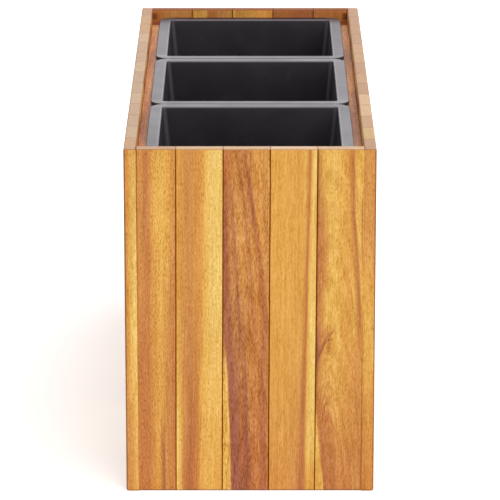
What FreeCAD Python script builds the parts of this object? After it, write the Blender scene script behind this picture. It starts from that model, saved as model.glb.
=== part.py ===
import FreeCAD, Part
import math
import os

# Indoor herb planter: a tall narrow wooden box that carries three lift-out pots.
# Lengths are millimetres. X runs across the narrow end, Y runs from the front end
# to the rear end, Z is up, and the origin is on the floor under the box's middle.

# Box
BOX_WIDTH = 325.0
BOX_LENGTH = 840.0
BOX_HEIGHT = 465.0
BOARD = 16.0

# Staves of the glued panels: how many each panel has, and the first one's share of a full width
END_STAVES = 5
SIDE_STAVES = 14
NARROW_STAVE_SHARE = 0.83
SEAM_BEVEL = 0.8
SEAM_LEAN = 2.2
EDGE_ROUND = 2.5
FOOT_ROUND = 3.5

# Pots, from the front end to the rear end
POT_NAMES = ("near", "middle", "far")
POT_HEIGHT = 240.0
POT_WALL = 2.5
POT_FLOOR = 3.0
POT_LEAN = 22.0
POT_GAP = 1.0
MOUTH_CORNER = 5.0
FLOOR_CORNER = 14.0
MOUTH_ROUND = 1.8
FLOOR_ROUND = 4.0
FOOT_RING = 14.0
FOOT_RECESS = 1.2

# Rims of the pots, and how they hang on the ledges
RIM_DROP = 11.5
RIM_WIDTH = 16.0
RIM_PLATE = 2.2
RIM_DEPTH = 3.0
RIM_LIP = 2.0
RIM_CORNER = 20.0
RIM_ROUND = 0.8
RIM_SIDE_GAP = 11.5
RIM_BEARING = 3.5

# Posts, ledges and rails inside the box
POST_DEPTH = 40.0
POST_DROP = 18.0
LEDGE_TALL = 30.0
RAIL_THICK = 16.0
RAIL_TALL = 30.0
RAIL_LIFT = 8.0
BATTEN_ROUND = 1.0

# Wood screws
SCREW_SHANK = 4.0
SCREW_HEAD = 8.0
SCREW_HEAD_TALL = 2.6
SCREW_HEAD_RIM = 0.5
SCREW_BITE = 11.0
SCREW_POINT = 4.0
SCREW_TIP = 0.6
SCREW_FIT = 0.05
SLOT_LONG = 4.4
SLOT_WIDE = 1.0
SLOT_DEEP = 1.3
END_SCREW_SINK = 12.0
DRIVER_BORE = 9.0
SCREW_INSET = 45.0

# How many screws hold each ledge and each rail
LEDGE_SCREWS = 5
SIDE_RAIL_SCREWS = 4
END_RAIL_SCREWS = 2

# Heights of the screws in a post, as shares of the post's height
POST_SIDE_SHARES = (0.16, 0.50, 0.84)
POST_END_SHARES = (0.24, 0.58, 0.92)

# How far a cutting shape runs past the face that it cuts
OVERRUN = 5.0

# Places closer together than this are the same place
SAME = 0.0001

INNER_WIDTH = BOX_WIDTH - 2 * BOARD
INNER_LENGTH = BOX_LENGTH - 2 * BOARD
RIM_TOP = BOX_HEIGHT - RIM_DROP
LEDGE_TOP = RIM_TOP - RIM_DEPTH
LEDGE_WIDE = RIM_SIDE_GAP + RIM_BEARING
LEDGE_LENGTH = INNER_LENGTH - 2 * POST_DEPTH
POST_TALL = BOX_HEIGHT - POST_DROP
POT_PITCH = (INNER_LENGTH - POT_GAP) / len(POT_NAMES)
RIM_X = INNER_WIDTH - 2 * RIM_SIDE_GAP
RIM_Y = POT_PITCH - POT_GAP
MOUTH_X = RIM_X - 2 * RIM_WIDTH
MOUTH_Y = RIM_Y - 2 * RIM_WIDTH
POT_BASE = RIM_TOP - POT_HEIGHT
POT_FLOOR_TOP = POT_BASE + POT_FLOOR

SIDES = {"left": -1, "right": 1}
ENDS = {"front": -1, "rear": 1}
UP = FreeCAD.Vector(0, 0, 1)


def spot(x, y, z):
    return FreeCAD.Vector(x, y, z)


def block(low, high):
    """A box between its lowest and its highest corner."""
    size = high - low
    return Part.makeBox(size.x, size.y, size.z, low)


def outline(corners, rounds):
    """A closed wire through corners, each with its own radius, or zero where it is sharp."""
    count = len(corners)
    bends = []
    for i, corner in enumerate(corners):
        before = (corners[i - 1] - corner).normalize()
        after = (corners[(i + 1) % count] - corner).normalize()
        half = before.getAngle(after) / 2
        back = rounds[i] / math.tan(half)
        middle = (before + after).normalize() * (rounds[i] / math.sin(half) - rounds[i])
        bends.append((corner + before * back, corner + middle, corner + after * back))
    edges = []
    for i, (start, middle, end) in enumerate(bends):
        if rounds[i] > 0:
            edges.append(Part.Arc(start, middle, end).toShape())
        edges.append(Part.LineSegment(end, bends[(i + 1) % count][0]).toShape())
    return Part.Wire(edges)


def rounded_rectangle(size_x, size_y, radius, z):
    """A level rectangle with four equal round corners, centred on the Z axis."""
    x = size_x / 2
    y = size_y / 2
    corners = [spot(-x, -y, z), spot(x, -y, z), spot(x, y, z), spot(-x, y, z)]
    return outline(corners, [radius] * len(corners))


def spread(count, reach):
    """Evenly spaced places from -reach to reach, or the middle for a single one."""
    return [reach * (2 * i + 1 - count) / max(1, count - 1) for i in range(count)]


def aimed(shape, point, direction):
    """A shape whose +Z is turned to a direction and whose origin is moved to a point."""
    placed = shape.copy()
    placed.Placement = FreeCAD.Placement(point, FreeCAD.Rotation(UP, direction))
    return placed


# Panels, each drawn with its outer face towards -Y and then turned to its side of the box

def panel_board(span, foot_round, end_round):
    """A plain panel before it is parted into staves, standing on the floor."""
    u = span / 2
    section = outline(
        [spot(-u, 0, 0), spot(-u, BOARD, 0), spot(-u, BOARD, BOX_HEIGHT), spot(-u, 0, BOX_HEIGHT)],
        [foot_round, 0, EDGE_ROUND, EDGE_ROUND])
    plan = outline(
        [spot(-u, 0, 0), spot(u, 0, 0), spot(u, BOARD, 0), spot(-u, BOARD, 0)],
        [end_round, end_round, 0, 0])
    front = outline(
        [spot(-u, 0, 0), spot(u, 0, 0), spot(u, 0, BOX_HEIGHT), spot(-u, 0, BOX_HEIGHT)],
        [0, 0, end_round, end_round])
    board = Part.Face(section).extrude(spot(span, 0, 0))
    board = board.common(Part.Face(plan).extrude(spot(0, 0, BOX_HEIGHT)))
    return board.common(Part.Face(front).extrude(spot(0, BOARD, 0)))


def stave_lines(span, count):
    """Places of the glue lines and the two ends. The first stave is narrower than the rest."""
    stave = span / (count - 1 + NARROW_STAVE_SHARE)
    return [-span / 2] + [span / 2 - i * stave for i in reversed(range(count))]


def stave_strip(low, high, low_seam, high_seam):
    """A slightly leaning prism that cuts one stave out of a panel, bevelled at its seams."""
    low_bevel = SEAM_BEVEL if low_seam else 0
    high_bevel = SEAM_BEVEL if high_seam else 0
    low = low if low_seam else low - OVERRUN
    high = high if high_seam else high + OVERRUN
    tall = BOX_HEIGHT + 2 * OVERRUN
    lean = SEAM_LEAN * tall / BOX_HEIGHT
    corners = [
        (low + low_bevel, 0), (high - high_bevel, 0),
        (high, high_bevel), (high, BOARD - high_bevel),
        (high - high_bevel, BOARD), (low + low_bevel, BOARD),
        (low, BOARD - low_bevel), (low, low_bevel)]
    points = []
    for u, t in corners:
        point = spot(u - lean / 2, t, -OVERRUN)
        if not points or not point.isEqual(points[-1], SAME):
            points.append(point)
    if points[0].isEqual(points[-1], SAME):
        points.pop()
    return Part.Face(Part.makePolygon(points + points[:1])).extrude(spot(lean, 0, tall))


def panel_staves(span, count, foot_round, end_round, turn, outer_face):
    """The staves of one panel, turned about Z and set with their outer face at a distance."""
    board = panel_board(span, foot_round, end_round)
    lines = stave_lines(span, count)
    staves = []
    for i in range(count):
        stave = board.common(stave_strip(lines[i], lines[i + 1], i > 0, i < count - 1))
        stave.translate(spot(0, -outer_face, 0))
        stave.rotate(spot(0, 0, 0), UP, turn)
        staves.append(stave)
    return staves


# Battens: posts, ledges and rails, all straight sticks with eased long edges

def batten(low, high):
    """A stick between two corners, with its four long edges rounded."""
    stick = block(low, high)
    size = high - low
    longest = max(size.x, size.y, size.z)
    long_edges = [e for e in stick.Edges if abs(e.Length - longest) < SAME]
    return stick.makeFillet(BATTEN_ROUND, long_edges)


def span_block(side, inner, outer, y0, y1, z0, z1):
    """A batten whose X runs between two distances from the middle, on one side."""
    x = sorted((side * inner, side * outer))
    return batten(spot(x[0], y0, z0), spot(x[1], y1, z1))


def post(side, end):
    y = sorted((end * (INNER_LENGTH / 2 - POST_DEPTH), end * INNER_LENGTH / 2))
    return span_block(side, INNER_WIDTH / 2 - LEDGE_WIDE, INNER_WIDTH / 2, y[0], y[1], 0, POST_TALL)


def ledge(side):
    y = LEDGE_LENGTH / 2
    return span_block(side, INNER_WIDTH / 2 - LEDGE_WIDE, INNER_WIDTH / 2, -y, y,
                      LEDGE_TOP - LEDGE_TALL, LEDGE_TOP)


def side_rail(side):
    y = LEDGE_LENGTH / 2
    return span_block(side, INNER_WIDTH / 2 - RAIL_THICK, INNER_WIDTH / 2, -y, y,
                      RAIL_LIFT, RAIL_LIFT + RAIL_TALL)


def end_rail(end):
    x = INNER_WIDTH / 2 - LEDGE_WIDE
    y = sorted((end * (INNER_LENGTH / 2 - RAIL_THICK), end * INNER_LENGTH / 2))
    return batten(spot(-x, y[0], RAIL_LIFT), spot(x, y[1], RAIL_LIFT + RAIL_TALL))


# Screws, drawn with the head at the origin and the point towards +Z

def screw_form(length, grow):
    """A countersunk screw's outside, or the hole that it leaves when grow is a clearance."""
    profile = [
        spot(0, 0, 0),
        spot(SCREW_HEAD / 2 + grow, 0, 0),
        spot(SCREW_HEAD / 2 + grow, 0, SCREW_HEAD_RIM + grow),
        spot(SCREW_SHANK / 2 + grow, 0, SCREW_HEAD_TALL + grow),
        spot(SCREW_SHANK / 2 + grow, 0, length - SCREW_POINT + grow),
        spot(SCREW_TIP / 2 + grow, 0, length + grow),
        spot(0, 0, length + grow)]
    face = Part.Face(Part.makePolygon(profile + profile[:1]))
    return face.revolve(spot(0, 0, 0), UP, 360)


def screw(length):
    """A screw with a cross slot in its head."""
    long, wide = SLOT_LONG / 2, SLOT_WIDE / 2
    one = block(spot(-long, -wide, -OVERRUN), spot(long, wide, SLOT_DEEP))
    other = block(spot(-wide, -long, -OVERRUN), spot(wide, long, SLOT_DEEP))
    return screw_form(length, 0).cut(one.fuse(other))


def ledge_screw_places():
    x = INNER_WIDTH / 2 - LEDGE_WIDE
    z = LEDGE_TOP - LEDGE_TALL / 2
    return [(spot(side * x, y, z), spot(side, 0, 0))
            for side in SIDES.values()
            for y in spread(LEDGE_SCREWS, LEDGE_LENGTH / 2 - SCREW_INSET)]


def post_screw_places():
    x = INNER_WIDTH / 2 - LEDGE_WIDE
    y = INNER_LENGTH / 2 - POST_DEPTH / 2
    return [(spot(side * x, end * y, share * POST_TALL), spot(side, 0, 0))
            for side in SIDES.values()
            for end in ENDS.values()
            for share in POST_SIDE_SHARES]


def end_screw_places():
    x = INNER_WIDTH / 2 - LEDGE_WIDE / 2
    y = INNER_LENGTH / 2 - POST_DEPTH + END_SCREW_SINK
    return [(spot(side * x, end * y, share * POST_TALL), spot(0, end, 0))
            for side in SIDES.values()
            for end in ENDS.values()
            for share in POST_END_SHARES]


def rail_screw_places():
    z = RAIL_LIFT + RAIL_TALL / 2
    x = INNER_WIDTH / 2 - RAIL_THICK
    y = INNER_LENGTH / 2 - RAIL_THICK
    side_places = [(spot(side * x, along, z), spot(side, 0, 0))
                   for side in SIDES.values()
                   for along in spread(SIDE_RAIL_SCREWS, LEDGE_LENGTH / 2 - SCREW_INSET)]
    end_reach = INNER_WIDTH / 2 - LEDGE_WIDE - SCREW_INSET
    end_places = [(spot(along, end * y, z), spot(0, end, 0))
                  for end in ENDS.values()
                  for along in spread(END_RAIL_SCREWS, end_reach)]
    return side_places + end_places


def driver_bore(point, direction):
    """The sunk bore in a post's face that lets the driver reach an end screw's head."""
    deep = END_SCREW_SINK + OVERRUN
    bore = Part.makeCylinder(DRIVER_BORE / 2, deep, spot(0, 0, -deep), UP)
    return aimed(bore, point, direction)


# Pots, drawn about the Z axis at their real height

def pot_loft(grow, low, high):
    """A tapering block with round corners, as the pot's hollow is, grown by a wall."""
    wires = []
    for z in (low, high):
        fall = (RIM_TOP - z) / (RIM_TOP - POT_FLOOR_TOP)
        lean = POT_LEAN * fall
        corner = MOUTH_CORNER + (FLOOR_CORNER - MOUTH_CORNER) * fall
        size_x = MOUTH_X + 2 * (grow - lean)
        size_y = MOUTH_Y + 2 * (grow - lean)
        wires.append(rounded_rectangle(size_x, size_y, corner + grow, z))
    return Part.makeLoft(wires, True, True)


def rounded_below(shape, radius, level):
    """A shape with all its edges at one low level rounded."""
    low = [e for e in shape.Edges if all(abs(v.Z - level) < SAME for v in e.Vertexes)]
    return shape.makeFillet(radius, low)


def rim_slab(size_x, size_y, corner, low, high):
    return Part.Face(rounded_rectangle(size_x, size_y, corner, low)).extrude(spot(0, 0, high - low))


def rim_edges(shape, at_mouth):
    """The edges on the rim's top face, either round the mouth or round the outside."""
    def by_mouth(v):
        return abs(v.X) < (MOUTH_X + RIM_X) / 4 and abs(v.Y) < (MOUTH_Y + RIM_Y) / 4
    top = [e for e in shape.Edges if all(abs(v.Z - RIM_TOP) < SAME for v in e.Vertexes)]
    return [e for e in top if all(by_mouth(v) == at_mouth for v in e.Vertexes)]


def pot():
    """One moulded pot: a tapering square tub with a flat rim and a short turned-down lip."""
    tub = rounded_below(pot_loft(POT_WALL, POT_BASE, RIM_TOP), FLOOR_ROUND + POT_WALL, POT_BASE)
    hollow = rounded_below(pot_loft(0, POT_FLOOR_TOP, RIM_TOP + OVERRUN), FLOOR_ROUND, POT_FLOOR_TOP)
    plate = rim_slab(RIM_X, RIM_Y, RIM_CORNER, RIM_TOP - RIM_PLATE, RIM_TOP)
    lip = rim_slab(RIM_X, RIM_Y, RIM_CORNER, RIM_TOP - RIM_DEPTH, RIM_TOP)
    lip = lip.cut(rim_slab(RIM_X - 2 * RIM_LIP, RIM_Y - 2 * RIM_LIP, RIM_CORNER - RIM_LIP,
                           RIM_TOP - RIM_DEPTH - OVERRUN, RIM_TOP - RIM_PLATE))
    base_lean = POT_LEAN - POT_WALL + FOOT_RING
    recess = rim_slab(MOUTH_X - 2 * base_lean, MOUTH_Y - 2 * base_lean, FLOOR_CORNER,
                      POT_BASE - OVERRUN, POT_BASE + FOOT_RECESS)
    whole = tub.fuse([plate, lip]).cut([hollow, recess]).removeSplitter()
    whole = whole.makeFillet(MOUTH_ROUND, rim_edges(whole, True))
    return whole.makeFillet(RIM_ROUND, rim_edges(whole, False))


def pot_place(index):
    """The middle of a pot along the box, counted from the front end."""
    return -INNER_LENGTH / 2 + POT_GAP + RIM_Y / 2 + index * POT_PITCH


def group(form, places):
    """Identical pieces set at a list of places, as one group of separate solids."""
    return Part.makeCompound([aimed(form, point, direction) for point, direction in places])


def bored(wood, holes):
    """A wooden piece with every screw hole cut that reaches it."""
    reaching = [hole for hole in holes if hole.BoundBox.intersect(wood.BoundBox)]
    return wood.cut(reaching) if reaching else wood


def make_wood():
    wood = {}
    for name, turn in (("front", 0), ("rear", 180)):
        staves = panel_staves(INNER_WIDTH, END_STAVES, EDGE_ROUND, 0, turn, BOX_LENGTH / 2)
        for i, stave in enumerate(staves):
            wood[f"{name}_stave_{i + 1}"] = stave
    for name, turn in (("left", -90), ("right", 90)):
        staves = panel_staves(BOX_LENGTH, SIDE_STAVES, FOOT_ROUND, EDGE_ROUND, turn, BOX_WIDTH / 2)
        for i, stave in enumerate(staves):
            wood[f"{name}_stave_{i + 1}"] = stave
    for side_name, side in SIDES.items():
        wood[f"ledge_{side_name}"] = ledge(side)
        wood[f"base_rail_{side_name}"] = side_rail(side)
        for end_name, end in ENDS.items():
            wood[f"post_{end_name}_{side_name}"] = post(side, end)
    for end_name, end in ENDS.items():
        wood[f"base_rail_{end_name}"] = end_rail(end)
    return wood


def make_screws():
    """The screw groups, and the holes that they leave in the wood."""
    jobs = {
        "ledge_screws": (LEDGE_WIDE + SCREW_BITE, ledge_screw_places()),
        "post_screws": (LEDGE_WIDE + SCREW_BITE, post_screw_places()),
        "end_screws": (POST_DEPTH - END_SCREW_SINK + SCREW_BITE, end_screw_places()),
        "rail_screws": (RAIL_THICK + SCREW_BITE, rail_screw_places())}
    screws = {}
    holes = []
    for name, (length, places) in jobs.items():
        screws[name] = group(screw(length), places)
        hole = screw_form(length, SCREW_FIT)
        holes += [aimed(hole, point, direction) for point, direction in places]
    holes += [driver_bore(point, direction) for point, direction in end_screw_places()]
    return screws, holes


def make_pots():
    form = pot()
    return {f"pot_{name}": form.translated(spot(0, pot_place(i), 0))
            for i, name in enumerate(POT_NAMES)}


def main():
    screws, holes = make_screws()
    pieces = {name: bored(piece, holes) for name, piece in make_wood().items()}
    pieces.update(screws)
    pieces.update(make_pots())
    os.makedirs("parts", exist_ok=True)
    for name, piece in pieces.items():
        piece.exportStep(f"parts/{name}.step")
        print(name, len(piece.Solids), piece.isValid(), round(piece.Volume))


main()
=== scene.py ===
import math
import random

import bpy
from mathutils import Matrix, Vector


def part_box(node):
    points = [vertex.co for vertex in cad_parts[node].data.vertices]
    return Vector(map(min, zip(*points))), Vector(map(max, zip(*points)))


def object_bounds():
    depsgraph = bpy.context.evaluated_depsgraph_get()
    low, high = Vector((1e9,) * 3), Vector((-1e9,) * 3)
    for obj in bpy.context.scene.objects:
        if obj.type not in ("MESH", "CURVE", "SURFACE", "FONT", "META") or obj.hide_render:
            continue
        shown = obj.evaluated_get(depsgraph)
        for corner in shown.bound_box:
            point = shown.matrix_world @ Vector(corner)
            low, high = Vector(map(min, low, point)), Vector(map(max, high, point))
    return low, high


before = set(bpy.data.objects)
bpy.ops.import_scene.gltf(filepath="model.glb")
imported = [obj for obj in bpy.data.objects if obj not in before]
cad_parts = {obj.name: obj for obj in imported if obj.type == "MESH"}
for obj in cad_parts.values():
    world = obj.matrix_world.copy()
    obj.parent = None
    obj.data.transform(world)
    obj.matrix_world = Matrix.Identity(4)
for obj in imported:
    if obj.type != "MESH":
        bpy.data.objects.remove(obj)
cad_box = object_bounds()

# The indoor herb planter's looks: oiled acacia staves, plain battens, moulded pots and steel
# screws, in metres. Wood is drawn in each piece's own directions: across its face, deep into
# it and along its grain.

SEED = 41
MM = 0.001

BOX_LOW, BOX_HIGH = cad_box
BOX_TALL = BOX_HIGH.z - BOX_LOW.z

# Glue lines between the staves, whose dark line is partly glue and partly painted shade in the
# groove: how far they lean over their height, how far the dark line and the warm band beside it
# reach into each stave, and how dark the line is at the box's corners
SEAM_LEAN = 2.2 * MM
SEAM_REACH = 0.75 * MM
WARM_REACH = 2.6 * MM
CORNER_DARK = 0.6

# The panels' feet are darker just above the floor, partly the wood's darker foot and partly
# painted contact shadow
FOOT_REACH = 3.2 * MM
FOOT_DARK = 0.4

# The growth rings' spacing and unevenness, how far the grain wanders sideways and how quickly,
# and how quickly the figure changes across a stave and along it, beside its change outwards
# from the pith
RING_PITCH = 4.6 * MM
RING_WOBBLE = 7 * MM
SWAY = 9 * MM
SWAY_WAVES = (14.0, 14.0, 3.2)
FIGURE_ACROSS = 0.22
FIGURE_ALONG = 0.034

# Battens: how quickly their tone drifts across the grain, through it and along it
BATTEN_WAVES = (40.0, 40.0, 5.0)

# The ledges darken towards the pots between these distances from their inner face: painted
# shadow of the pots' rims
LEDGE_SHADE = (4.5 * MM, 3.2 * MM)

# Pots: the rim's width and thickness, how far the walls come in over their fall, how far the
# painted highlight in the inside corners reaches, between which distances from the mouth the rim
# carries a painted highlight, and how far under the rim's top the smoother walls begin
RIM_WIDTH = 16 * MM
RIM_THICK = 2.5 * MM
WALL_LEAN = 22 * MM
WALL_FALL = 237 * MM
CORNER_HIGHLIGHT_REACH = 7 * MM
MOUTH_HIGHLIGHT_FROM = 3.2 * MM
MOUTH_HIGHLIGHT_TO = 1.2 * MM
WALLS_FROM = 4 * MM

# Camera: its place, how far it looks down, and its lens and sensor in millimetres
CAMERA_PLACE = (0.0, -4.794, 1.613)
CAMERA_DROP = math.radians(16.3435)
CAMERA_LENS = 254.3
CAMERA_SENSOR = 36.0

# Light
SKY_FILL = 0.55
SUN_POWER = 1.75
SUN_PLACE = (0.0, 0.0, 3.0)
SUN_SPREAD = math.radians(60)
SUN_HEIGHT = math.radians(52)
SUN_SIDE = math.radians(34)
SOFTBOX_SIZE = (3.2, 1.6)
SOFTBOX_PLACE = (0.5, 3.0, 1.9)
SOFTBOX_AIM = (0.0, 0.0, 0.4)
SOFTBOX_POWER = 25.0
FLOOR_HALF = 40.0
FLOOR_TONE = (0.90, 0.90, 0.90, 1.0)
FLOOR_LIFT = 0.38

# Tones as they look in plain light, in screen levels: the staves' from the palest sapwood to the
# darkest heartwood, the bright middle of the rear panel, the battens', the end grain's and the near
# black of the painted shadow that the pots' rims cast on the ledges
TONES = {
    "straw": (240, 198, 106),
    "honey": (233, 181, 86),
    "amber": (226, 165, 74),
    "orange": (216, 149, 68),
    "tan": (208, 142, 72),
    "rust": (198, 124, 62),
    "russet": (184, 110, 60),
    "plum": (160, 92, 64),
    "umber": (126, 72, 44),
    "bark": (84, 44, 26),
    "glow": (248, 172, 78),
    "batten": (154, 87, 30),
    "pale batten": (196, 126, 58),
    # End grain tones: the top faces' own paler tone together with painted sheen
    "end grain": (205, 169, 136),
    "grey end": (201, 172, 146),
    "pale end": (208, 180, 152),
    "light end": (222, 188, 152),
    "bright end": (232, 200, 168),
    "rosy end": (197, 160, 132),
    "warm end": (214, 180, 134),
    "dark end": (150, 90, 50),
    # The posts' end grain is darker, and also stands in for painted shade of the deep rear corners
    "post end": (150, 86, 46),
    "rim shadow": (12, 8, 8),
}

# How each detail of the wood multiplies the red, green and blue under it
TINTS = {
    "pale cloud": (1.14, 1.20, 1.26),
    "dark cloud": (0.76, 0.62, 0.48),
    "late wood": (0.74, 0.56, 0.42),
    "pale fibre": (1.26, 1.46, 2.3),
    "dark fibre": (0.70, 0.54, 0.16),
    "pore": (0.62, 0.50, 0.34),
    "arris": (0.52, 0.40, 0.32),
    "end cloud": (0.86, 0.80, 0.74),
    "end ring": (0.80, 0.70, 0.62),
    "end pore": (0.62, 0.52, 0.44),
    "end rim": (0.66, 0.50, 0.40),
    "seam": (0.30, 0.12, 0.05),
    "warm": (1.0, 0.94, 0.62),
}

# Noises drawn out along the grain: the scale across it, the stretch along it, the detail and the
# roughness
GRAINS = {
    "fine": (720.0, 0.07, 2.0, 0.6),
    "pore": (720.0, 0.3, 1.0, 0.5),
    "crowd": (60.0, 0.25, 2.0, 0.5),
    "cloud": (32.0, 0.32, 2.0, 0.5),
}

# How far apart two pieces' noises lie, for one unit of difference between their seeds
SEED_STEPS = (3.1, 1.7, 5.3)

# Colours of the plastic and the steel, in linear light
POT_DARK = (0.0125, 0.0115, 0.0140, 1.0)
POT_PALE = (0.018, 0.0168, 0.0195, 1.0)
POT_SCUFF = (0.07, 0.068, 0.074, 1.0)
POT_RIM = (0.0195, 0.0145, 0.0215, 1.0)
# Painted highlights: the pale edge of the mouth and the pale line down the inside corners
POT_MOUTH_HIGHLIGHT = (0.42, 0.40, 0.44, 1.0)
POT_CORNER_HIGHLIGHT = (0.068, 0.064, 0.070, 1.0)
POT_SHEEN = (0.98, 0.88, 1.0, 1.0)
STEEL_DULL = (0.50, 0.49, 0.46, 1.0)
STEEL_BRIGHT = (0.68, 0.67, 0.64, 1.0)


def linear(level):
    """One screen level, from 0 to 255, as the light that it stands for."""
    share = level / 255
    return share / 12.92 if share <= 0.04045 else ((share + 0.055) / 1.055) ** 2.4


def colour(name):
    return tuple(linear(level) for level in TONES[name]) + (1.0,)


class Tree:
    """Short ways to add nodes to one shader tree and to join them."""

    def __init__(self, tree):
        self.tree = tree

    def feed(self, socket, value):
        if isinstance(value, bpy.types.NodeSocket):
            self.tree.links.new(value, socket)
        else:
            socket.default_value = value

    def node(self, kind, inputs=None, **settings):
        made = self.tree.nodes.new("ShaderNode" + kind)
        for name, value in settings.items():
            setattr(made, name, value)
        for key, value in (inputs or {}).items():
            self.feed(made.inputs[key], value)
        return made

    def math(self, operation, *values, clamp=False):
        made = self.node("Math", dict(enumerate(values)), operation=operation, use_clamp=clamp)
        return made.outputs[0]

    def times(self, first, second, clamp=False):
        return self.math("MULTIPLY", first, second, clamp=clamp)

    def dot(self, vector, direction):
        made = self.node("VectorMath", {0: vector, 1: direction}, operation="DOT_PRODUCT")
        return made.outputs["Value"]

    def scaled(self, vector, factors):
        return self.node("VectorMath", {0: vector, 1: factors}, operation="MULTIPLY").outputs[0]

    def added(self, vector, other):
        return self.node("VectorMath", {0: vector, 1: other}, operation="ADD").outputs[0]

    def joined(self, x, y, z):
        return self.node("CombineXYZ", {0: x, 1: y, 2: z}).outputs[0]

    def parted(self, vector):
        return list(self.node("SeparateXYZ", {0: vector}).outputs)

    def ease(self, value, start, end, low=0.0, high=1.0):
        """A soft step from low at start to high at end."""
        inputs = {"Value": value, "From Min": start, "From Max": end, "To Min": low, "To Max": high}
        return self.node("MapRange", inputs, interpolation_type="SMOOTHSTEP").outputs[0]

    def noise(self, vector, scale, detail=2.0, roughness=0.5):
        inputs = {"Vector": vector, "Scale": scale, "Detail": detail, "Roughness": roughness}
        return self.node("TexNoise", inputs).outputs[0]

    def grain(self, place, name):
        scale, stretch, detail, roughness = GRAINS[name]
        return self.noise(self.scaled(place, (1.0, 1.0, stretch)), scale, detail, roughness)

    def swing(self, value):
        """A noise's swing to both sides of its middle level."""
        return self.math("SUBTRACT", value, 0.5)

    def blend(self, factor, first, second, mode="MIX"):
        made = self.node("Mix", {0: factor, 6: first, 7: second}, data_type="RGBA", blend_type=mode)
        return made.outputs[2]

    def tinted(self, factor, tone, name):
        return self.blend(factor, tone, TINTS[name] + (1.0,), "MULTIPLY")

    def length(self, x, y):
        return self.math("SQRT", self.math("ADD", self.times(x, x), self.times(y, y)))

    def ramp(self, value, stops):
        """Colours along a value, from pairs of a place and a tone's name."""
        made = self.node("ValToRGB", {0: value})
        elements = made.color_ramp.elements
        while len(elements) > 1:
            elements.remove(elements[-1])
        elements[0].position = stops[0][0]
        elements[0].color = colour(stops[0][1])
        for place, tone in stops[1:]:
            elements.new(place).color = colour(tone)
        return made.outputs[0]

    def curve(self, value, points):
        """A smooth line through pairs of a height and a place across the stave."""
        made = self.node("FloatCurve", {0: 1.0, 1: value})
        line = made.mapping.curves[0]
        points = sorted(points)
        line.points[0].location = points[0]
        line.points[1].location = points[-1]
        for point in points[1:-1]:
            line.points.new(*point)
        made.mapping.extend = "HORIZONTAL"
        made.mapping.update()
        return made.outputs[0]


def new_material(name):
    """An empty material with a surface shader, as its tree and that shader."""
    material = bpy.data.materials.new(name)
    material.use_nodes = True
    tree = Tree(material.node_tree)
    return material, tree, material.node_tree.nodes["Principled BSDF"]


def new_group(name, inputs, outputs):
    """A node group with named sockets, as its tree, its inputs by name and its end node."""
    group = bpy.data.node_groups.new(name, "ShaderNodeTree")
    for socket, kind in inputs:
        group.interface.new_socket(name=socket, in_out="INPUT", socket_type="NodeSocket" + kind)
    for socket, kind in outputs:
        group.interface.new_socket(name=socket, in_out="OUTPUT", socket_type="NodeSocket" + kind)
    start = group.nodes.new("NodeGroupInput")
    end = group.nodes.new("NodeGroupOutput")
    return group, Tree(group), start.outputs, end.inputs


# Wood

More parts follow.
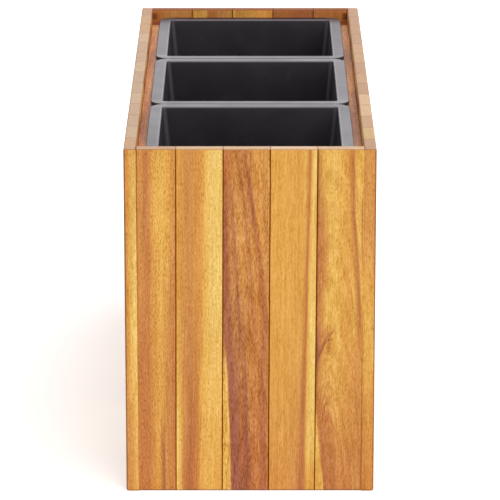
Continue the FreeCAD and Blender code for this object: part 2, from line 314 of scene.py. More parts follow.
def wood_group():
    """Grain, rings, flecks, end grain and edges, laid over a piece's own tone."""
    group, t, given, result = new_group(
        "sawn_wood",
        [("Place", "Vector"), ("Tone", "Color"), ("End Tone", "Color"), ("End", "Float"),
         ("Seam", "Float"), ("Arris", "Float"), ("Seed", "Float"), ("Pith", "Vector"),
         ("Slant", "Vector"), ("Rings", "Float"), ("Flecks", "Float"), ("Cloud", "Float"),
         ("Fibres", "Float")],
        [("Color", "Color"), ("Roughness", "Float"), ("Normal", "Vector")])
    apart = t.joined(*[t.times(given["Seed"], step) for step in SEED_STEPS])
    place = t.added(given["Place"], apart)

    # The grain wanders a little sideways on its way up
    sway = t.swing(t.noise(t.scaled(place, SWAY_WAVES), 1.0, 2.0))
    sway = t.times(sway, SWAY)
    swayed = t.added(place, t.joined(sway, 0.0, 0.0))

    # The figure follows the distance from a pith that lies outside the stave and leans to it
    x, y, z = t.parted(given["Place"])
    pith_x, pith_y, _ = t.parted(given["Pith"])
    slant_x, slant_y, _ = t.parted(given["Slant"])
    off_x = t.math("SUBTRACT", t.math("ADD", x, sway), t.math("MULTIPLY_ADD", z, slant_x, pith_x))
    off_y = t.math("SUBTRACT", y, t.math("MULTIPLY_ADD", z, slant_y, pith_y))
    reach = t.length(off_x, off_y)
    figure = t.joined(reach, t.times(x, FIGURE_ACROSS), t.times(z, FIGURE_ALONG))
    figure = t.added(figure, apart)
    broad = t.noise(figure, 85.0, 3.0, 0.55)
    middle = t.noise(figure, 330.0, 3.0, 0.6)
    fine = t.grain(swayed, "fine")

    # Year rings, each darker towards its late edge
    rings = t.math("MULTIPLY_ADD", t.swing(broad), RING_WOBBLE, reach)
    turn = t.math("FRACT", t.math("DIVIDE", rings, RING_PITCH))
    late = t.times(t.math("POWER", turn, 2.2), t.ease(turn, 1.0, 0.88))
    late = t.times(late, given["Rings"])

    # Open pores show as short dark ticks along the grain, with paler fibres between them
    pore = t.grain(swayed, "pore")
    crowd = t.swing(t.grain(swayed, "crowd"))
    shifted = t.math("ADD", pore, t.times(crowd, 0.30))
    fleck = t.times(t.ease(shifted, 0.56, 0.70), given["Flecks"])

    # Clouds and bands shift the hue, rings darken it
    cloud = t.times(t.swing(t.grain(swayed, "cloud")), given["Cloud"])
    level = t.math("MULTIPLY_ADD", t.swing(broad), 0.42, cloud)
    tone = t.tinted(t.ease(level, 0.0, 0.30), given["Tone"], "pale cloud")
    tone = t.tinted(t.ease(level, 0.0, -0.30), tone, "dark cloud")
    tone = t.tinted(late, tone, "late wood")

    # Fibres are paler or darker, pores are dark, and rounded edges get painted shade
    fibre = t.times(t.swing(fine), 1.25)
    fibre = t.math("MULTIPLY_ADD", t.swing(middle), 0.9, fibre)
    speck = t.times(t.swing(pore), t.math("ADD", given["Flecks"], 0.3))
    fibre = t.times(t.math("MULTIPLY_ADD", speck, -0.9, fibre), given["Fibres"])
    tone = t.tinted(t.times(fibre, 1.5, clamp=True), tone, "pale fibre")
    tone = t.tinted(t.times(fibre, -1.5, clamp=True), tone, "dark fibre")
    tone = t.tinted(t.times(fleck, 0.35), tone, "pore")
    # Painted shade on the rounded long edges
    tone = t.tinted(given["Arris"], tone, "arris")

    # End grain is paler and dull, partly by its own tone and partly by painted sheen of the top
    # faces, with pore dots, ring arcs and a dark rim
    dots = t.ease(t.noise(swayed, 1300.0, 1.0), 0.54, 0.70)
    across = t.noise(place, 160.0, 3.0)
    end = t.tinted(t.ease(across, 0.35, 0.65, 0.0, 0.5), given["End Tone"], "end cloud")
    end = t.tinted(t.times(turn, 0.32), end, "end ring")
    end = t.tinted(t.times(dots, 0.45), end, "end pore")
    tone = t.blend(given["End"], tone, end)
    # The dark rim is painted shade where the end face rounds over into the faces
    rim = t.times(t.ease(given["End"], 0.0, 0.3), t.ease(given["End"], 1.0, 0.6))
    tone = t.tinted(rim, tone, "end rim")
    # The Seam input darkens the glue lines with painted shade in their grooves, and the feet with
    # painted contact shadow
    t.feed(result["Color"], t.tinted(given["Seam"], tone, "seam"))

    rough = t.math("MULTIPLY_ADD", middle, 0.16, 0.42)
    rough = t.math("MULTIPLY_ADD", fleck, 0.15, rough)
    rough = t.math("MULTIPLY_ADD", given["End"], 0.22, rough, clamp=True)
    t.feed(result["Roughness"], rough)

    height = t.math("MULTIPLY_ADD", fine, 0.5, t.times(middle, 0.5))
    height = t.math("MULTIPLY_ADD", fleck, -0.9, height)
    height = t.math("MULTIPLY_ADD", late, -0.25, height)
    height = t.math("MULTIPLY_ADD", t.times(dots, given["End"]), -0.6, height)
    bump = t.node("Bump", {"Strength": 0.55, "Distance": 0.16 * MM, "Height": height})
    t.feed(result["Normal"], bump.outputs[0])
    return group


# A mark's span, in shares of the stave's height, when it has no end
NO_END = (-1.0, 2.0)


def streak(path, tone, left, right, strength, span=NO_END):
    """A soft line up the stave. Widths are shares of the stave, each side of the path."""
    return dict(kind="streak", path=path, tone=tone, left=left, right=right,
                strength=strength, span=span)


def side(path, tone, reach, soft, strength, span=NO_END):
    """All that lies on one side of a path: reach is -1 for its left and 1 for its right."""
    return dict(kind="side", path=path, tone=tone, reach=reach, soft=soft,
                strength=strength, span=span)


def edge_band(tone, strength, span):
    """A change of tone up a side stave's narrow face, which the end panel leaves bare."""
    return dict(kind="band", tone=tone, strength=strength, span=span, edge=True)


def painted_corner_shade(path, reach):
    """Painted shade in an inner corner of the box, just under the top edge."""
    return dict(side(path, "bark", reach, 0.06, 0.7, (0.962, 0.994)), inner=True)


def knot(place, tone, size, strength):
    """A small oval spot. Several, one inside another, make a knot with rings."""
    return dict(kind="knot", place=place, tone=tone, size=size, strength=strength, span=NO_END)


def arches(place, tone, steep, pitch, reach, strength):
    """Nested arches of flat-sawn grain under a place, each one a pitch below the last."""
    return dict(kind="arches", place=place, tone=tone, steep=steep, pitch=pitch, reach=reach,
                strength=strength, span=NO_END)


def stave(top, foot=None, change=(0.1, 0.5), marks=(), pith=(-90, -20), slant=(0.01, 0.0),
          rings=0.35, flecks=0.6, cloud=0.5, fibres=1.0, edge=None, edge_foot=None,
          end="end grain"):
    """One stave's looks. Its pith lies so many millimetres from its left edge and outer face."""
    return dict(top=top, foot=foot or top, change=change, marks=marks, pith=pith, slant=slant,
                rings=rings, flecks=flecks, cloud=cloud, fibres=fibres, edge=edge,
                edge_foot=edge_foot, end=end)


# The knot, as shares of its stave's width and height, and the edge of the dark grain beside it
KNOT_PLACE = (0.279, 0.4487)
KNOT_SHADE = ((0.385, 0.03), (0.405, 0.10), (0.425, 0.165), (0.442, 0.22), (0.461, 0.315),
              (0.475, 0.42))

# Staves that the photograph shows, each as bands of tone from its left edge to its right edge
# as seen from outside, at the top and at the foot, and marks that run up it
SHOWN = {
    "front_stave_1": stave(
        top=((0, "tan"), (0.06, "orange"), (0.14, "tan"), (0.22, "rust"), (0.32, "tan"),
             (0.42, "amber"), (0.6, "honey"), (0.8, "amber"), (0.92, "orange"), (1, "tan")),
        foot=((0, "rust"), (0.12, "rust"), (0.3, "rust"), (0.45, "orange"), (0.6, "amber"),
              (0.75, "tan"), (1, "rust")),
        change=(0.2, 1.05), rings=0.22, flecks=1.0, fibres=1.15,
        marks=(streak(((0.4, 0.22), (0.8, 0.22), (1, 0.2)), "rust", 0.10, 0.10, 0.7, (0.55, 0.97)),
               streak(((0.0, 0.68), (0.16, 0.67), (0.24, 0.66)), "russet", 0.12, 0.08, 0.9,
                      (-1, 0.26)),
               streak(((0.0, 0.70), (0.16, 0.67), (0.24, 0.66)), "umber", 0.04, 0.04, 0.45,
                      (-1, 0.2)))),
    "front_stave_2": stave(
        top=((0, "amber"), (0.1, "orange"), (0.25, "tan"), (0.48, "orange"), (0.57, "amber"),
             (0.63, "honey"), (0.8, "straw"), (0.95, "straw"), (1, "honey")),
        foot=((0, "straw"), (0.09, "honey"), (0.16, "tan"), (0.3, "russet"), (0.46, "rust"),
              (0.54, "amber"), (0.72, "honey"), (1, "amber")),
        change=(0.05, 0.66), rings=0.2, flecks=0.8, end="light end"),
    "front_stave_3": stave(
        top=((0, "russet"), (0.1, "rust"), (0.24, "tan"), (0.4, "tan"), (0.55, "tan"),
             (0.7, "orange"), (1, "tan")),
        foot=((0, "plum"), (0.3, "plum"), (0.4, "russet"), (0.5, "plum"), (0.62, "russet"),
              (0.74, "rust"), (0.84, "russet"), (1, "rust")),
        change=(0.1, 0.8), rings=0.5, flecks=1.0, fibres=1.35, pith=(34, 44), slant=(-0.03, 0.07),
        end="light end",
        marks=(streak(((0.45, 0.93), (0.66, 0.80), (0.82, 0.64), (0.97, 0.47)), "russet", 0.14,
                      0.10, 0.85, (0.36, 1.1)),
               streak(((0.8, 0.65), (0.88, 0.59), (0.95, 0.50)), "plum", 0.06, 0.06, 0.6,
                      (0.74, 0.98)),
               side(((0.0, 0.72), (1, 0.72)), "amber", 1, 0.08, 0.45, (0.86, 2)),
               streak(((0.45, 0.70), (0.7, 0.56), (0.86, 0.44), (0.97, 0.30)), "russet", 0.08, 0.07,
                      0.6, (0.35, 1.1)),
               streak(((0.4, 0.42), (0.7, 0.26), (0.9, 0.16)), "plum", 0.07, 0.05, 0.6, (0.35, 0.95)),
               streak(((0.0, 0.62), (0.35, 0.58), (0.6, 0.46), (0.86, 0.34)), "orange", 0.10, 0.09,
                      0.55, (0.1, 0.95)),
               streak(((0.0, 0.90), (0.5, 0.86)), "plum", 0.10, 0.08, 0.3, (-1, 0.55)),
               streak(((0.0, 0.40), (0.5, 0.12), (0.9, 0.04)), "plum", 0.14, 0.10, 0.75, (-1, 0.95)),
               side(((0.0, 0.19), (0.2, 0.15), (0.42, 0.06), (0.47, 0.0)), "honey", -1, 0.02, 1.0,
                    (-1, 0.48)))),
    "front_stave_4": stave(
        top=((0, "amber"), (0.2, "amber"), (0.6, "amber"), (1, "honey")),
        foot=((0, "orange"), (0.3, "orange"), (0.55, "tan"), (0.75, "tan"), (0.85, "amber"),
              (1, "orange")),
        change=(-0.15, 0.7), rings=0.14, flecks=0.5, cloud=0.3, fibres=0.85, end="bright end",
        marks=(side(((0, 0.80), (0.3, 0.83), (0.5, 0.85), (0.8, 0.89), (1, 0.91)), "straw", 1, 0.04,
                    0.95, (0.01, 2)),
               streak(((0, 0.73), (0.3, 0.76), (0.5, 0.78), (0.8, 0.82), (1, 0.85)), "rust",
                      0.10, 0.06, 1.0),
               streak(((0, 0.70), (0.3, 0.74), (0.5, 0.77)), "russet", 0.14, 0.05, 0.6, (-1, 0.45)),
               streak(((0, 0.72), (0.2, 0.75)), "russet", 0.16, 0.10, 0.6, (-1, 0.16)),
               streak(((0.5, 0.94), (1, 0.98)), "amber", 0.06, 0.08, 0.6, (0.52, 0.95)))),
    "front_stave_5": stave(
        top=((0, "amber"), (0.1, "honey"), (0.4, "honey"), (0.6, "amber"), (1, "orange")),
        foot=((0, "rust"), (0.15, "rust"), (0.4, "tan"), (0.7, "tan"), (1, "tan")),
        change=(-0.1, 0.62), rings=0.42, flecks=0.7, fibres=1.1, pith=(14, 30), slant=(0.02, 0.10),
        end="light end",
        marks=(side(((0.2, 0.40), (0.42, 0.18), (0.54, 0.14), (0.66, 0.22), (0.9, 0.05)), "rust",
                    -1, 0.14, 0.95, (0.05, 1.0)),
               streak(((0.0, 0.22), (0.25, 0.09), (0.34, 0.02)), "russet", 0.05, 0.13, 0.9, (-1, 0.37)),
               side(((0.4, 0.98), (0.6, 0.93), (0.8, 0.84), (1, 0.82)), "honey", 1, 0.03, 0.95,
                    (0.4, 2)),
               streak(((0.42, 0.80), (0.6, 0.80)), "honey", 0.12, 0.09, 0.75, (0.40, 0.68)),
               streak(((0.62, 1.0), (0.72, 0.97), (0.88, 0.96)), "rust", 0.05, 0.03, 0.8, (0.6, 0.9)),
               streak(((0.3, 0.98), (0.5, 0.95), (0.68, 0.87), (0.81, 0.79), (1, 0.75)),
                      "russet", 0.12, 0.05, 0.75, (0.36, 2)),
               streak(((0.1, 0.93), (0.44, 0.90)), "tan", 0.16, 0.12, 0.5, (0.1, 0.5)),
               streak(((0.3, 0.16), (0.42, 0.16), (0.47, 0.36)), "honey", 0.20, 0.30, 0.45,
                      (0.24, 0.48)),
               side(KNOT_SHADE, "rust", -1, 0.012, 0.85, (0.34, 0.505)),
               streak(((0.42, 0.05), (0.47, 0.22), (0.49, 0.30)), "amber", 0.05, 0.05, 0.25,
                      (0.41, 0.51)),
               streak(((0.3, 0.0), (0.5, 0.0)), "plum", 0.05, 0.13, 0.9, (0.33, 0.50)),
               streak(((0.3, 0.0), (0.5, 0.0)), "umber", 0.05, 0.10, 0.6, (0.37, 0.45)),
               streak(KNOT_SHADE, "plum", 0.10, 0.012, 0.8, (0.37, 0.487)),
               streak(((0.40, 0.27), (0.43, 0.28), (0.46, 0.29)), "rust", 0.07, 0.07, 0.9,
                      (0.395, 0.475)),
               arches((0.30, 0.418), "honey", 2.4, 0.046, (0.36, 0.34), 0.4),
               arches((0.30, 0.395), "rust", 2.4, 0.046, (0.36, 0.34), 0.3),
               knot(KNOT_PLACE, "rust", (0.070, 0.013), 0.8),
               knot(KNOT_PLACE, "amber", (0.050, 0.009), 0.8),
               knot(KNOT_PLACE, "russet", (0.034, 0.0058), 0.9),
               knot(KNOT_PLACE, "bark", (0.016, 0.0028), 0.9),
               streak(((0, 0.008), (1, 0.008)), "umber", 0.05, 0.035, 0.65),
               side(((0.0, 0.20), (0.25, 0.02), (0.3, 0.0)), "honey", -1, 0.02, 1.0, (-1, 0.31)),
               streak(((0.0, 0.40), (0.25, 0.34)), "russet", 0.22, 0.16, 0.75, (-1, 0.22)),
               streak(((0.0, 0.68), (0.2, 0.64)), "rust", 0.24, 0.24, 0.7, (-1, 0.24)))),
    "left_stave_14": stave(
        top=((0, "tan"), (0.4, "orange"), (0.8, "amber"), (1, "rust")),
        edge=((0, "tan"), (0.25, "orange"), (0.48, "honey"), (0.78, "straw"), (1, "straw")),
        edge_foot=((0, "orange"), (0.4, "tan"), (0.6, "orange"), (0.8, "amber"), (1, "honey")),
        change=(0.0, 0.55), rings=0.2, flecks=0.9,
        marks=(edge_band("tan", 0.3, (-1, 0.2)),)),
    "right_stave_1": stave(
        top=((0, "orange"), (0.4, "amber"), (0.8, "honey"), (1, "amber")),
        edge=((0, "orange"), (0.12, "orange"), (0.5, "amber"), (0.85, "amber"), (1, "orange")),
        edge_foot=((0, "tan"), (0.3, "orange"), (0.6, "orange"), (0.8, "rust"), (1, "russet")),
        change=(0.0, 0.5), rings=0.2, flecks=0.9, end="rosy end",
        marks=(edge_band("tan", 0.7, (0.62, 2)), edge_band("honey", 0.5, (0.25, 0.66)),
               edge_band("rust", 0.45, (-1, 0.2)))),
    # The outer rear staves carry painted shade in the rear inner corners
    "rear_stave_1": stave(top=((0, "rust"), (0.5, "rust"), (1, "rust")), rings=0.5,
                          end="dark end", marks=(painted_corner_shade(((0, 0.13), (1, 0.13)), -1),)),
    "rear_stave_2": stave(top=((0, "russet"), (0.4, "russet"), (0.7, "rust"), (1, "russet")),
                          rings=0.5, end="dark end"),
    "rear_stave_3": stave(top=((0, "glow"), (0.35, "glow"), (0.6, "amber"), (0.92, "orange"),
                               (0.95, "honey"), (1, "honey")), end="dark end"),
    "rear_stave_4": stave(top=((0, "tan"), (0.3, "tan"), (0.45, "rust"), (0.6, "rust"),
                               (0.66, "amber"), (1, "amber")), end="dark end"),
    # Painted shade in the other rear inner corner
    "rear_stave_5": stave(top=((0, "tan"), (0.6, "tan"), (0.9, "rust"), (1, "rust")), rings=0.5,
                          end="dark end", marks=(painted_corner_shade(((0, 0.87), (1, 0.87)), 1),)),
}

# Bands for the staves that the photograph doesn't show, from the same timber
FAMILIES = (
    ("amber", "honey", "straw", "honey"),
    ("orange", "amber", "honey", "amber"),
    ("rust", "orange", "honey", "straw"),
    ("plum", "russet", "rust", "tan"),
    ("tan", "orange", "tan", "rust"),
    ("rust", "tan", "orange", "amber"),
)

END_NAMES = {"end": "end grain", "pale": "pale end", "grey": "grey end", "rosy": "rosy end",
             "light": "light end", "warm": "warm end"}

# End grain of the long sides' staves along the top edge, from the front end to the rear end
SIDE_ENDS = {
    "left": ("end", "pale", "grey", "grey", "pale", "grey", "grey", "pale", "grey", "grey", "pale",
             "end", "end", "rosy"),
    "right": ("rosy", "warm", "end", "light", "light", "rosy", "end", "rosy", "end", "end", "rosy",
              "rosy", "rosy", "rosy"),
}

# Directions of each panel: to the right as seen from outside, and inwards
PANELS = {
    "front": ((1, 0), (0, 1)),
    "right": ((0, 1), (-1, 0)),
    "rear": ((-1, 0), (0, -1)),
    "left": ((0, -1), (1, 0)),
}


def family_stave(rng, family):
    """A stave's looks drawn at random within one family."""
    tones = list(family)
    if rng.random() < 0.5:
        tones.reverse()
    places = sorted(rng.uniform(0.1, 0.9) for _ in tones[1:-1])
    top = tuple(zip([0.0] + places + [1.0], tones))
    places = sorted(rng.uniform(0.1, 0.9) for _ in tones[1:-1])
    foot = tuple(zip([0.0] + places + [1.0], tones))
    marks = []
    for _ in range(rng.choice((0, 1, 1, 2))):
        low, drift = rng.uniform(0.1, 0.9), rng.uniform(-0.15, 0.15)
        path = ((0.0, low), (0.5, low + drift * rng.uniform(0.2, 0.8)), (1.0, low + drift))
        marks.append(streak(path, rng.choice(("rust", "russet", "umber")), rng.uniform(0.03, 0.12),
                            rng.uniform(0.02, 0.06), rng.uniform(0.35, 0.75)))
    if rng.random() < 0.3:
        start = rng.uniform(0.25, 0.6)
        marks.append(side(((0.0, rng.uniform(0.1, 0.3)), (start, 0.0)), "honey", -1, 0.02, 0.9,
                          (-1, start + 0.02)))
    if rng.random() < 0.2:
        place = (rng.uniform(0.25, 0.75), rng.uniform(0.2, 0.8))
        marks.append(knot(place, "umber", (0.035, 0.012), 0.85))
    flat_sawn = rng.random() < 0.5
    pith = (rng.uniform(10, 50), rng.uniform(28, 60)) if flat_sawn else (rng.uniform(-160, -60), 8)
    sideways = rng.uniform(-0.03, 0.03)
    deeper = rng.choice((-1, 1)) * rng.uniform(0.05, 0.1) if flat_sawn else 0.0
    return stave(top, foot, change=(0.0, 1.0), marks=marks, pith=pith, slant=(sideways, deeper),
                 rings=rng.uniform(0.25, 0.6), flecks=rng.uniform(0.7, 1.0))


def knot_mask(t, mark, share, height):
    off_x = t.math("DIVIDE", t.math("SUBTRACT", share, mark["place"][0]), mark["size"][0])
    off_z = t.math("DIVIDE", t.math("SUBTRACT", height, mark["place"][1]), mark["size"][1])
    return t.ease(t.length(off_x, off_z), 1.15, 0.55)


def arches_mask(t, mark, share, height):
    """Wandering lines along the arches, which fade sideways and downwards."""
    off = t.math("SUBTRACT", share, mark["place"][0])
    below = t.math("SUBTRACT", mark["place"][1], height)
    level = t.math("MULTIPLY_ADD", t.times(off, off), -mark["steep"], below)
    spot = t.joined(t.times(share, 9.0), 0.0, t.times(height, 22.0))
    wander = t.swing(t.noise(spot, 1.0))
    bent = t.math("MULTIPLY_ADD", wander, 1.8 * mark["pitch"], level)
    turn = t.math("FRACT", t.math("DIVIDE", bent, mark["pitch"]))
    line = t.times(t.ease(turn, 0.35, 0.75), t.ease(turn, 1.0, 0.85))
    wide, tall = mark["reach"]
    near = t.ease(t.math("ABSOLUTE", off), wide, 0.4 * wide)
    under = t.times(t.ease(level, -0.004, 0.004), t.ease(below, tall, 0.4 * tall))
    return t.times(line, t.times(near, under))


def streak_mask(t, mark, share, height):
    off = t.math("SUBTRACT", share, t.curve(height, mark["path"]))
    return t.times(t.ease(off, -mark["left"], 0.0), t.ease(off, mark["right"], 0.0))


def side_mask(t, mark, share, height):
    off = t.math("SUBTRACT", share, t.curve(height, mark["path"]))
    away = t.times(off, float(mark["reach"]))
    return t.ease(away, -mark["soft"], mark["soft"])


def band_mask(t, mark, share, height):
    return 1.0


MASKS = {"knot": knot_mask, "arches": arches_mask, "streak": streak_mask, "side": side_mask,
         "band": band_mask}


def mark_mask(t, mark, share, height):
    """How strongly a mark shows at a point of the stave."""
    mask = MASKS[mark["kind"]](t, mark, share, height)
    low, high = mark["span"]
    fade = min(0.14, (high - low) / 3)
    if low > 0:
        mask = t.times(mask, t.ease(height, low, low + fade))
    if high < 1:
        mask = t.times(mask, t.ease(height, high, high - fade))
    return t.times(mask, mark["strength"])


def piece_place(t, across, deep, along, start):
    """A piece's own coordinates: metres across it, into it and along its grain."""
    point = t.node("TexCoord").outputs["Object"]
    offsets = t.node("VectorMath", {0: point, 1: tuple(start)}, operation="SUBTRACT").outputs[0]
    return [t.dot(offsets, tuple(direction)) for direction in (across, deep, along)]


def face_masks(t, across, deep, along):
    """How far a face is turned towards the piece's ends, and how far it lies on a long edge."""
    normal = t.node("TexCoord").outputs["Normal"]
    end = t.ease(t.math("ABSOLUTE", t.dot(normal, tuple(along))), 0.25, 0.95)
    sideways = t.times(t.dot(normal, tuple(across)), t.dot(normal, tuple(deep)))
    return end, t.ease(t.math("ABSOLUTE", sideways), 0.12, 0.42)


def finish_wood(t, shader, group, looks, place, tone, masks, seam, seed):
    """Joins one piece's tone to the shared wood group and to its surface shader."""
    wood = t.node("Group", node_tree=group)
    values = {
        "Place": t.joined(*place), "Tone": tone, "End Tone": colour(looks["end"]),
        "End": masks[0], "Arris": masks[1], "Seam": seam, "Seed": seed,
        "Pith": (looks["pith"][0] * MM, looks["pith"][1] * MM, 0.0),
        "Slant": (looks["slant"][0], looks["slant"][1], 0.0), "Rings": looks["rings"],
        "Flecks": looks["flecks"], "Cloud": looks["cloud"], "Fibres": looks["fibres"]}
    for name, value in values.items():
        t.feed(wood.inputs[name], value)
    t.feed(shader.inputs["Base Color"], wood.outputs["Color"])
    t.feed(shader.inputs["Roughness"], wood.outputs["Roughness"])
    t.feed(shader.inputs["Normal"], wood.outputs["Normal"])
    shader.inputs["Specular IOR Level"].default_value = 0.24


def stave_tone(t, looks, share, depth, height, at_edge, seed):
    """A stave's tone from its bands and marks, by shares of its width, thickness and height."""
    wave = t.swing(t.noise(t.joined(seed, share, t.times(height, 7.0)), 1.0, 2.0))
    wavy = t.math("MULTIPLY_ADD", wave, 0.10, share)
    rise = t.ease(height, *looks["change"])
    tone = t.blend(rise, t.ramp(wavy, looks["foot"]), t.ramp(wavy, looks["top"]))
    if looks["edge"]:
        wavy = t.math("MULTIPLY_ADD", wave, 0.25, depth)
        face = t.blend(rise, t.ramp(wavy, looks["edge_foot"]), t.ramp(wavy, looks["edge"]))
        tone = t.blend(at_edge, tone, face)
    for mark in looks["marks"]:
        mask = mark_mask(t, mark, share, height)
        if mark.get("inner"):
            mask = t.times(mask, t.ease(depth, 0.5, 0.8))
        if mark.get("edge"):
            mask = t.times(mask, at_edge)
        tone = t.blend(mask, tone, colour(mark["tone"]))
    return tone


def stave_material(node, group, looks, panel, first, last, seed):
    """Oiled acacia for one stave of a panel."""
    material, t, shader = new_material(node)
    right, inward = [Vector(direction + (0,)) for direction in PANELS[panel]]
    low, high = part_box(node)
    left_edge, right_edge = sorted(corner.dot(right) for corner in (low, high))
    outer_face, inner_face = sorted(corner.dot(inward) for corner in (low, high))
    if not first:
        left_edge += SEAM_LEAN / 2
    if not last:
        right_edge -= SEAM_LEAN / 2
    width = right_edge - left_edge
    across = right - Vector((0, 0, SEAM_LEAN / BOX_TALL))
    start = right * left_edge + inward * outer_face
    point = piece_place(t, across, inward, Vector((0, 0, 1)), start)
    point[0] = t.math("ADD", point[0], SEAM_LEAN / 2)

    share = t.math("DIVIDE", point[0], width)
    depth = t.math("DIVIDE", point[1], inner_face - outer_face)
    height = t.math("DIVIDE", point[2], BOX_TALL)
    at_edge = t.ease(share, 0.04, 0.0) if first else t.ease(share, 0.96, 1.0)
    tone = stave_tone(t, looks, share, depth, height, at_edge, seed)

    at_corner = CORNER_DARK if panel in ("front", "rear") else 0.0
    left_dark = at_corner if first else 1.0
    right_dark = at_corner if last else 1.0
    # Dark glue lines with painted shade in the grooves, and a warm band beside them
    seam, warm = [
        t.math("MAXIMUM", t.ease(point[0], reach, 0.2 * reach, 0.0, left_dark),
               t.ease(point[0], width - reach, width - 0.2 * reach, 0.0, right_dark))
        for reach in (SEAM_REACH, WARM_REACH)]
    # The foot band reuses the glue lines' tint: partly the wood's darker foot, partly painted contact
    # shadow
    foot = t.ease(point[2], FOOT_REACH, 0.2 * FOOT_REACH, 0.0, FOOT_DARK)
    seam = t.math("MAXIMUM", seam, foot)
    masks = face_masks(t, right, inward, (0, 0, 1))
    finish_wood(t, shader, group, looks, point, t.tinted(warm, tone, "warm"), masks, seam, seed)
    return material


def batten_material(node, group, seed):
    """Plainer wood for a post, ledge or rail, with its grain along the longest side."""
    material, t, shader = new_material(node)
    low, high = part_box(node)
    size = high - low
    longest = max(range(3), key=lambda axis: size[axis])
    axes = [Vector([float(i == axis) for i in range(3)]) for axis in range(3)]
    along = axes.pop(longest)
    place = piece_place(t, axes[0], axes[1], along, low)
    drift = t.noise(t.scaled(t.joined(*place), BATTEN_WAVES), 1.0, 2.0)
    drift = t.math("ADD", drift, 0.001 * seed)
    tone = t.ramp(drift, ((0.36, "batten"), (0.5, "pale batten"), (0.64, "batten")))
    if node.startswith("ledge_"):
        inner = t.math("SUBTRACT", size.x, place[0]) if node == "ledge_left" else place[0]
        # Painted shadow of the pots' rims along the ledge's inner edge
        tone = t.blend(t.ease(inner, *LEDGE_SHADE, 0.0, 0.97), tone, colour("rim shadow"))
    # Post tops: darker end grain together with painted shade of the deep rear corners
    end = "post end" if node.startswith("post_") else "dark end"
    looks = stave(top=(), pith=(-60, -15), slant=(0.004, 0.0), rings=0.5, flecks=1.0, cloud=1.0,
                  fibres=1.3, end=end)
    finish_wood(t, shader, group, looks, place, tone, face_masks(t, *axes, along), 0.0, seed)
    shader.inputs["Specular IOR Level"].default_value = 0.16
    return material


# Moulded pots and steel screws

def pot_masks(t, low, high):
    """Where a pot's flat rim, its painted mouth and corner highlights and its walls below are."""
    centre = (low + high) / 2
    x, y, z = t.parted(t.node("TexCoord").outputs["Object"])
    off_x = t.math("ABSOLUTE", t.math("SUBTRACT", x, centre.x))
    off_y = t.math("ABSOLUTE", t.math("SUBTRACT", y, centre.y))
    from_side = t.math("SUBTRACT", (high.x - low.x) / 2, off_x)
    from_end = t.math("SUBTRACT", (high.y - low.y) / 2, off_y)
    nearest = t.math("MINIMUM", from_side, from_end)
    # Painted highlight along the edge of the mouth
    inside = t.ease(nearest, RIM_WIDTH - MOUTH_HIGHLIGHT_FROM, RIM_WIDTH - MOUTH_HIGHLIGHT_TO)
    rim = t.ease(z, high.z - RIM_THICK, high.z - 0.4 * RIM_THICK)
    mouth = t.times(inside, rim)
    # Painted highlight down the inside corners
    wall = t.math("MULTIPLY_ADD", t.math("SUBTRACT", high.z, z), WALL_LEAN / WALL_FALL, RIM_WIDTH)
    from_corner = t.math("SUBTRACT", t.math("MAXIMUM", from_side, from_end), wall)
    corner = t.ease(from_corner, CORNER_HIGHLIGHT_REACH, 0.5 * CORNER_HIGHLIGHT_REACH)
    corner = t.times(corner, t.ease(z, low.z, high.z))
    below = t.ease(z, high.z - WALLS_FROM, high.z - 2 * WALLS_FROM)
    return rim, mouth, corner, below


def pot_material(node, seed):
    """Satin anthracite plastic: fine moulded grain, faint scuffs, painted mouth and corner highlights.
    """
    material, t, shader = new_material(node)
    low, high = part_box(node)
    rim, mouth, corner, below = pot_masks(t, low, high)
    point = t.added(t.node("TexCoord").outputs["Object"], (seed, 0.0, 0.0))
    cloud = t.noise(point, 14.0, 4.0, 0.6)
    grain = t.noise(point, 1400.0, 2.0)
    sink = t.noise(point, 9.0, 1.0)
    scuff = t.ease(t.noise(t.scaled(point, (1.0, 1.0, 0.15)), 210.0, 3.0, 0.7), 0.62, 0.78)

    base = t.blend(t.ease(cloud, 0.35, 0.65), POT_DARK, POT_PALE)
    # The mouth and the inside corners get painted highlights
    for share, mask, tone in ((0.2, scuff, POT_SCUFF), (0.8, rim, POT_RIM),
                              (0.24, mouth, POT_MOUTH_HIGHLIGHT), (0.8, corner, POT_CORNER_HIGHLIGHT)):
        base = t.blend(t.times(mask, share), base, tone)
    t.feed(shader.inputs["Base Color"], base)
    shader.inputs["Specular Tint"].default_value = POT_SHEEN
    shader.inputs["IOR"].default_value = 1.52

    rough = t.math("MULTIPLY_ADD", cloud, 0.22, 0.30)
    rough = t.math("MULTIPLY_ADD", below, -0.05, rough)
    t.feed(shader.inputs["Roughness"], t.math("MULTIPLY_ADD", scuff, 0.12, rough))
    height = t.math("MULTIPLY_ADD", sink, 6.0, t.times(grain, 0.25))
    bump = t.node("Bump", {"Strength": t.math("MULTIPLY_ADD", below, -0.38, 0.5),
                           "Distance": 0.12 * MM, "Height": height})
    t.feed(shader.inputs["Normal"], bump.outputs[0])
    return material


def steel_material(node, seed):
    """Zinc-plated steel, a little uneven."""
    material, t, shader = new_material(node)
    point = t.added(t.node("TexCoord").outputs["Object"], (seed, 0.0, 0.0))
    bloom = t.noise(point, 420.0, 3.0)
    tone = t.blend(t.ease(bloom, 0.3, 0.7), STEEL_DULL, STEEL_BRIGHT)
    t.feed(shader.inputs["Base Color"], tone)
    t.feed(shader.inputs["Roughness"], t.math("MULTIPLY_ADD", bloom, 0.25, 0.26))
    bump = t.node("Bump", {"Strength": 0.3, "Distance": 0.05 * MM, "Height": bloom})
    t.feed(shader.inputs["Normal"], bump.outputs[0])
    shader.inputs["Metallic"].default_value = 1.0
    return material


def dress(node, material):
    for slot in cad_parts[node].material_slots:
        slot.material = material


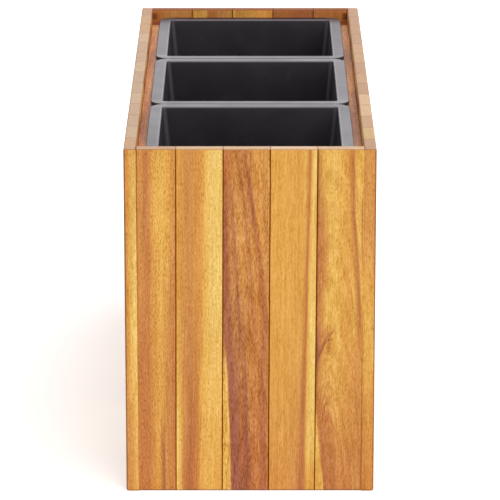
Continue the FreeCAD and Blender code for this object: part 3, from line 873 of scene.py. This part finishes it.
def dress_panels(group, rng):
    names = sorted(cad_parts)
    for panel in PANELS:
        count = sum(name.startswith(panel + "_stave_") for name in names)
        family = None
        for i in range(1, count + 1):
            node = f"{panel}_stave_{i}"
            family = rng.choice([other for other in FAMILIES if other is not family])
            drawn = family_stave(rng, family)
            looks = SHOWN.get(node, drawn)
            if panel in SIDE_ENDS:
                from_front = i - 1 if panel == "right" else count - i
                looks = dict(looks, end=END_NAMES[SIDE_ENDS[panel][from_front]])
            seed = rng.uniform(0.0, 9.0)
            dress(node, stave_material(node, group, looks, panel, i == 1, i == count, seed))


def dress_rest(group, rng):
    for node in sorted(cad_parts):
        if node.startswith(("ledge_", "post_", "base_rail_")) and not node.endswith("_screws"):
            dress(node, batten_material(node, group, rng.uniform(0.0, 9.0)))
        elif node.endswith("_screws"):
            dress(node, steel_material(node, rng.uniform(0.0, 9.0)))
        elif node.startswith("pot_"):
            dress(node, pot_material(node, rng.uniform(0.0, 9.0)))


# Studio

def make_floor():
    mesh = bpy.data.meshes.new("floor")
    corners = [(-FLOOR_HALF, -FLOOR_HALF, 0), (FLOOR_HALF, -FLOOR_HALF, 0),
               (FLOOR_HALF, FLOOR_HALF, 0), (-FLOOR_HALF, FLOOR_HALF, 0)]
    mesh.from_pydata(corners, [], [(0, 1, 2, 3)])
    floor = bpy.data.objects.new("floor", mesh)
    bpy.context.scene.collection.objects.link(floor)
    material, t, shader = new_material("floor")
    shader.inputs["Base Color"].default_value = FLOOR_TONE
    shader.inputs["Roughness"].default_value = 1.0
    shader.inputs["Specular IOR Level"].default_value = 0.0
    shader.inputs["Emission Color"].default_value = (1.0, 1.0, 1.0, 1.0)
    seen = t.node("LightPath").outputs["Is Camera Ray"]
    t.feed(shader.inputs["Emission Strength"], t.times(seen, FLOOR_LIFT))
    mesh.materials.append(material)


def make_world():
    world = bpy.data.worlds.new("studio")
    bpy.context.scene.world = world
    world.use_nodes = True
    t = Tree(world.node_tree)
    background = world.node_tree.nodes["Background"]
    background.inputs["Color"].default_value = (1.0, 1.0, 1.0, 1.0)
    path = t.node("LightPath").outputs
    seen = t.math("MAXIMUM", path["Is Camera Ray"], path["Is Glossy Ray"])
    seen = t.math("MAXIMUM", seen, path["Is Transmission Ray"])
    t.feed(background.inputs["Strength"], t.ease(seen, 0.0, 1.0, SKY_FILL, 1.0))


def make_lamp(name, kind, power, direction, place):
    """A lamp that shines along a direction."""
    data = bpy.data.lights.new(name, kind)
    data.energy = power
    lamp = bpy.data.objects.new(name, data)
    lamp.location = place
    lamp.rotation_euler = Vector(direction).to_track_quat("-Z", "Y").to_euler()
    lamp.visible_camera = False
    bpy.context.scene.collection.objects.link(lamp)
    return data


def make_lamps():
    level = math.cos(SUN_HEIGHT)
    towards = (-level * math.sin(SUN_SIDE), level * math.cos(SUN_SIDE), -math.sin(SUN_HEIGHT))
    sun = make_lamp("key", "SUN", SUN_POWER, towards, SUN_PLACE)
    sun.angle = SUN_SPREAD
    towards = Vector(SOFTBOX_AIM) - Vector(SOFTBOX_PLACE)
    softbox = make_lamp("softbox", "AREA", SOFTBOX_POWER, towards, SOFTBOX_PLACE)
    softbox.shape = "RECTANGLE"
    softbox.size, softbox.size_y = SOFTBOX_SIZE


def make_camera():
    data = bpy.data.cameras.new("camera")
    data.lens = CAMERA_LENS
    data.sensor_width = CAMERA_SENSOR
    camera = bpy.data.objects.new("camera", data)
    camera.location = CAMERA_PLACE
    camera.rotation_euler = (math.pi / 2 - CAMERA_DROP, 0, 0)
    bpy.context.scene.collection.objects.link(camera)
    bpy.context.scene.camera = camera


shared_wood = wood_group()
draw = random.Random(SEED)
dress_panels(shared_wood, draw)
dress_rest(shared_wood, draw)
make_floor()
make_world()
make_lamps()
make_camera()
bpy.context.scene.view_settings.view_transform = "Standard"
